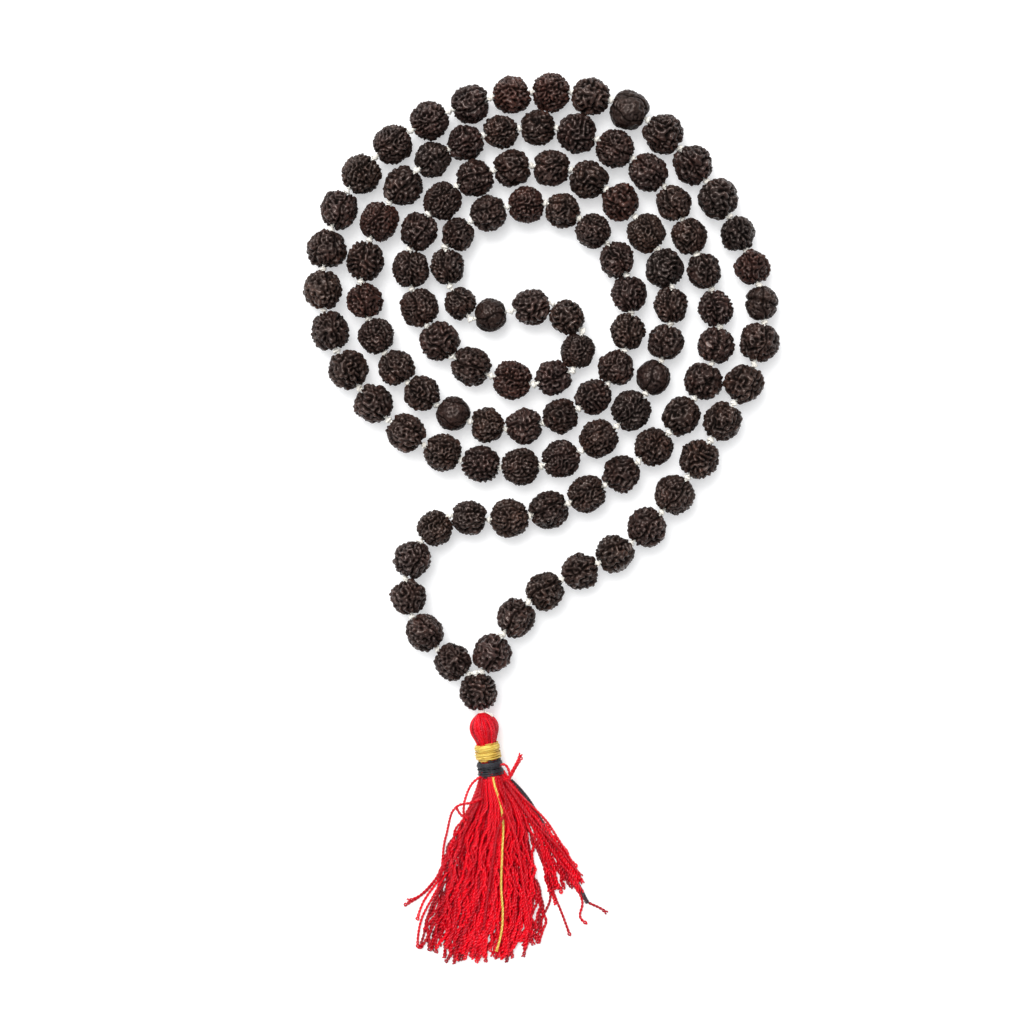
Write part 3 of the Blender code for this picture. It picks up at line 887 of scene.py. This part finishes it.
def fan_paths(rng):
    """The threads of the skirt's main body, side by side and on each other as they spread."""
    rows = np.array(FAN)
    share = np.linspace(0.0, 1.0, FAN_POINTS)
    out, turn = np.sqrt(rng.uniform(0, 1, FAN_THREADS)), rng.uniform(0, 2 * pi, FAN_THREADS)
    across, level = (out * np.cos(turn))[:, None], (out * np.sin(turn))[:, None]
    clump = np.round((across + 1) / 2 * (FAN_CLUMPS - 1)).astype(int)
    y = rows[0, 0] + (fan_ends(rng, across, clump) - rows[0, 0]) * share
    across = across + 0.4 * share**5 * (2 * clump / (FAN_CLUMPS - 1) - 1 - across)
    left, right, low, high = (np.interp(-y, -rows[:, 0], rows[:, i]) for i in range(1, 5))
    loose = np.clip(share * 2.2, 0, 1) ** 2
    drift = across + loose * waves(rng, FAN_THREADS, share, (0.5, 1.3, 2.6), (0.15, 0.11, 0.06))
    wobble = loose * waves(rng, FAN_THREADS, share, (4.0, 8.0, 14.0), (0.36, 0.32, 0.2))
    wobble = wobble * (1 - 0.5 * share**2)
    x = (left + right) / 2 + (right - left) / 2 * np.clip(drift, -1.02, 1.02) + wobble
    z = fan_heights(rng, share, (across, level), drift, loose, low, high)
    return eased(np.stack([x, y, z], axis=2) * MM, EASING_PASSES)


def flank_paths(rng):
    """The looser threads on the skirt's right, which part from its main body."""
    share = np.linspace(0.0, 1.0, FLANK_POINTS)
    place = rng.uniform(0, 1, (FLANK_THREADS, 1))
    start_x = -9.8 + 1.4 * place
    start_z = rng.uniform(1.6, 4.8, (FLANK_THREADS, 1))
    end_x = 1.3 + 7.0 * place + rng.normal(0, 0.4, (FLANK_THREADS, 1))
    end_y = -80.6 + 2.6 * place + rng.normal(0, 1.2, (FLANK_THREADS, 1))
    end_z = rng.uniform(0.32, 1.3, (FLANK_THREADS, 1))
    loose = np.clip(share * 2.0, 0, 1) ** 2
    bow = 2.6 * (1 - place) * np.sin(pi * share)
    wobble = loose * waves(rng, FLANK_THREADS, share, (1.5, 4.0, 9.0), (0.35, 0.28, 0.2))
    x = start_x + (end_x - start_x) * share + bow + wobble
    y = FLANK_TOP + (end_y - FLANK_TOP) * share
    down = np.clip(share / rng.uniform(0.5, 0.8, (FLANK_THREADS, 1)), 0, 1)
    z = start_z + (end_z - start_z) * np.sin(down * pi / 2)
    return eased(np.stack([x, y, z], axis=2) * MM, EASING_PASSES)


def loosening(paths):
    """The threads' radius at each point: they swell once they are past the black band."""
    share = np.linspace(0.0, 1.0, paths.shape[1])
    return np.interp(share, *LOOSENING) * MM


def make_skirt(red):
    """The skirt's threads, in a few pieces, the lower ones painted darker as painted shade."""
    rng = np.random.default_rng(23)
    paths = fan_paths(rng)
    order = np.argsort(paths[:, :, 2].mean(axis=1))
    for i, group in enumerate(np.array_split(order, SKIRT_PIECES), start=1):
        tone = 0.22 + 0.11 * i  # painted shade: the lower threads are darker
        threads = plied_tubes(
            paths[group], loosening(paths), THREAD_PITCH, rng, flare=0.6, tone=tone
        )
        nodes = ("tassel_skirt",) if i == 1 else ()
        add_threads(f"skirt_threads_{i}", [threads], red, "tassel", nodes)
    paths = flank_paths(rng)
    parts = [plied_tubes(paths, loosening(paths), THREAD_PITCH, rng, flare=0.6)]
    for route in STRAYS:
        path = curve_through(route, THREAD_STEP)[None]
        parts.append(plied_tubes(path, THREAD, THREAD_PITCH, rng, flare=0.9))
    add_threads(f"skirt_threads_{SKIRT_PIECES + 1}", parts, red, "tassel")


def around_axis(along, radius, angle):
    """Points at a distance along the tassel's axis, a radius and an angle about it."""
    along, radius, angle = (np.asarray(values)[..., None] for values in (along, radius, angle))
    flat = np.cos(angle) * np.array(ACROSS) + np.sin(angle) * np.array(ABOVE)
    return np.array(TASSEL_PIVOT) + (along * np.array(AXIS) + radius * flat) * MM


def make_head(red):
    """The head: threads folded over the end knot and gathered at the neck, over a core."""
    rng = np.random.default_rng(31)
    outline = curve_through([(along, radius, 0.0) for along, radius in HEAD_OUTLINE], HEAD_STEP)
    along, radius = outline[:, 0] / MM, outline[:, 1] / MM
    share = np.linspace(0.0, 1.0, len(outline))
    spots = np.arange(HEAD_THREADS) + rng.uniform(-0.3, 0.3, HEAD_THREADS)
    turn = 2 * pi / HEAD_THREADS * spots[:, None]
    skew = 0.5 * share + waves(rng, HEAD_THREADS, share, (0.7, 2.0), (0.09, 0.04))
    proud = rng.uniform(-0.07, 0.07, (HEAD_THREADS, 1)) * np.clip(6 * share, 0, 1)
    along = np.broadcast_to(along, skew.shape)
    outer = around_axis(along, radius + proud, turn + skew)
    core = around_axis(along[:1], 0 * along[:1], 0 * along[:1])
    parts = [
        plied_tubes(outer, HEAD_THREAD, HEAD_PITCH, rng, tone=0.75),
        # The core, seen only between the threads, has a lower tone than them: painted shade.
        tubes(core, np.maximum(radius - CORE_INSET, 0.1)[None] * MM, 28, np.array([0.5])),
    ]
    start, end = (tuple(TASSEL_PIVOT + AXIS * along * MM) for along in HEAD_BEND)
    body = ("end_knot", "tassel", start, end)
    add_threads("tassel_head_threads", parts, red, body, ("tassel_head",))


def wound(start, end, radius, turns, rng, sway):
    """The path of a thread wound round the neck from one distance along it to another."""
    share = np.linspace(0.0, 1.0, int(turns * TURN_POINTS))
    swayed = sway * waves(rng, 1, share, (turns * 0.9, 1.0), (0.4, 1.0))
    along = start + (end - start) * share + swayed
    out = radius + waves(rng, 1, share, (turns * 0.41, turns * 0.9), (0.07, 0.05))
    return around_axis(along, out, 2 * pi * turns * share + rng.uniform(0, 6))


def make_band(name, ends, thread, turns, over, material, node, contrast=0.0):
    """A band of thread: close turns round the neck, and some looser lengths wound over them."""
    rng = np.random.default_rng(37)
    first, last = ends[0] + thread, ends[1] - thread
    path = wound(first, last, BAND_RADIUS, turns, rng, 0.06)
    twist = BAND_PITCH * thread * MM
    # The close turns are given a lower tone than the lengths wound over them: painted shade.
    parts = [plied_tubes(path, thread * MM, twist, rng, tone=0.8, contrast=contrast)]
    for _ in range(over):
        start, end = rng.uniform(first, last, 2)
        path = wound(start, end, rng.uniform(*OVER_RADII), OVER_TURNS, rng, 0.08)
        parts.append(plied_tubes(path, thread * MM, twist, rng, tone=0.9, contrast=contrast))
    add_threads(name, parts, material, "tassel", (node,))


def loose_thread(name, route, shift, radius, contrast, material, nodes):
    """A free thread of the tassel."""
    path = curve_through(route, FINE_STEP) + np.array(shift)
    rng = np.random.default_rng(43)
    thread = plied_tubes(
        path[None], radius, LOOSE_PITCH, rng, sides=6, flare=0.4, tone=0.9, contrast=contrast
    )
    piece = add_threads(name, [thread], material, "tassel", nodes)


def make_end_knot(cotton):
    """The knot under the guru bead, with its two short cut ends."""
    rng = np.random.default_rng(41)
    pivot = TASSEL_PIVOT
    parts = [knot_wraps([pivot], [pivot - AXIS * MM, pivot, pivot + AXIS * MM], rng)]
    for tip in KNOT_TIPS:
        end = [(0, 0, 0), (tip[0] * 0.5, -0.4, tip[2] * 0.7), tip]
        route = [tuple(pivot / MM + Vector(point)) for point in end]
        path = curve_through(route, FINE_STEP)[None]
        parts.append(plied_tubes(path, 0.18 * MM, MM, rng, flare=0.8))
    nodes = ("string_end_knot",)
    add_threads("end_knot_threads", parts, cotton, "end_knot", nodes)


def make_tassel(cotton):
    """The free threads, and then the rest of the tassel."""
    red = thread_material(
        "red_viscose", (1.0, 0.001, 0.012), (0.06, 0.0, 0.001), 0.25,
        Specular_IOR_Level=1.0, Specular_Tint=(1.0, 0.28, 0.37, 1.0),
    )
    gold = thread_material(
        "gold_lame", (1.0, 0.83, 0.18), (0.46, 0.18, 0.0), 0.2, 0.12,
        Metallic=0.15, Specular_IOR_Level=1.0, Specular_Tint=(1.0, 0.93, 0.7, 1.0),
    )
    black = thread_material(
        "black_cotton", (0.022, 0.023, 0.032), (0.002, 0.002, 0.004), 0.45, 0.1
    )
    still = Vector((0, 0, 0))
    loose_thread(
        "gold_loose", GOLD_STRAND, still, GOLD_THREAD, 0.4, gold, ("gold_strand",)
    )
    loose_thread(
        "black_loose_1", BLACK_STRAND, still, BLACK_THREAD, 0.0, black,
        ("black_strand",),
    )
    loose_thread(
        "black_loose_2", BLACK_STRAND, SECOND_BLACK_SHIFT, BLACK_THREAD, 0.0, black,
        (),
    )
    make_end_knot(cotton)
    make_head(red)
    make_band("gold_band", GOLD_WRAP, 0.2, 13, 9, gold, "gold_wrap", 0.5)
    make_band("black_band", BLACK_WRAP, 0.24, 9, 7, black, "black_wrap")
    make_skirt(red)


# Surroundings ------------------------------------------------------------------------------


def make_floor():
    """White paper, far past the view on every side."""
    bpy.ops.mesh.primitive_grid_add(x_subdivisions=8, y_subdivisions=8, size=FLOOR_SIZE)
    floor = bpy.context.object
    floor.name = "floor"
    material, tree, shader = new_material("white_paper")
    mottle = noise(tree, 40.0, 4.0)
    feed(tree, shader, {
        "Base Color": ramp(tree, mottle, [(0.3, (0.64, 0.645, 0.65)), (0.7, (0.67, 0.67, 0.67))]),
        "Roughness": mapped(tree, mottle, 0.8, 0.9),
    })
    shader.inputs["Emission Color"].default_value = (0.98, 0.985, 1.0, 1)
    shader.inputs["Emission Strength"].default_value = 0.44
    floor.data.materials.append(material)


def add_light(name, energy, angle, direction):
    """Parallel light, softened by the angle in degrees that it comes from."""
    light = bpy.data.lights.new(name, "SUN")
    light.energy = energy
    light.angle = radians(angle)
    light.color = (1.0, 0.995, 0.985)
    holder = bpy.data.objects.new(name, light)
    holder.rotation_euler = Vector(direction).to_track_quat("-Z", "Y").to_euler()
    bpy.context.scene.collection.objects.link(holder)


def light_scene():
    """A wide soft light and a narrower one for the gloss, with a white horizon and a dim top."""
    add_light("soft_key", energy=3.0, angle=72, direction=(0.2, -0.24, -0.76))
    add_light("gloss", energy=1.4, angle=30, direction=(0.2, -0.38, -0.76))
    world = bpy.data.worlds.new("studio")
    bpy.context.scene.world = world
    world.use_nodes = True
    tree = world.node_tree
    direction = add_node(tree, "TexCoord").outputs["Generated"]
    height = add_node(tree, "SeparateXYZ", {"Vector": direction}).outputs["Z"]
    sky = ramp(tree, height, [
        (0.0, (1.0, 1.0, 1.0)), (0.1, (0.97, 0.975, 0.98)), (0.25, (0.60, 0.615, 0.63)),
        (0.4, (0.17, 0.18, 0.19)), (1.0, (0.085, 0.09, 0.095)),
    ])
    feed(tree, tree.nodes["Background"], {"Color": sky, "Strength": 1.06})


make_camera()
knots = string_knots()
radii = seed_radii(knots)
raise_knots(knots, radii)
cotton = thread_material("cotton", (1.0, 0.98, 0.93), (0.80, 0.75, 0.66), 0.85, Sheen_Weight=0.2)
make_tassel(cotton)
make_string(knots, cotton)
make_seeds(knots, radii)
make_floor()
light_scene()
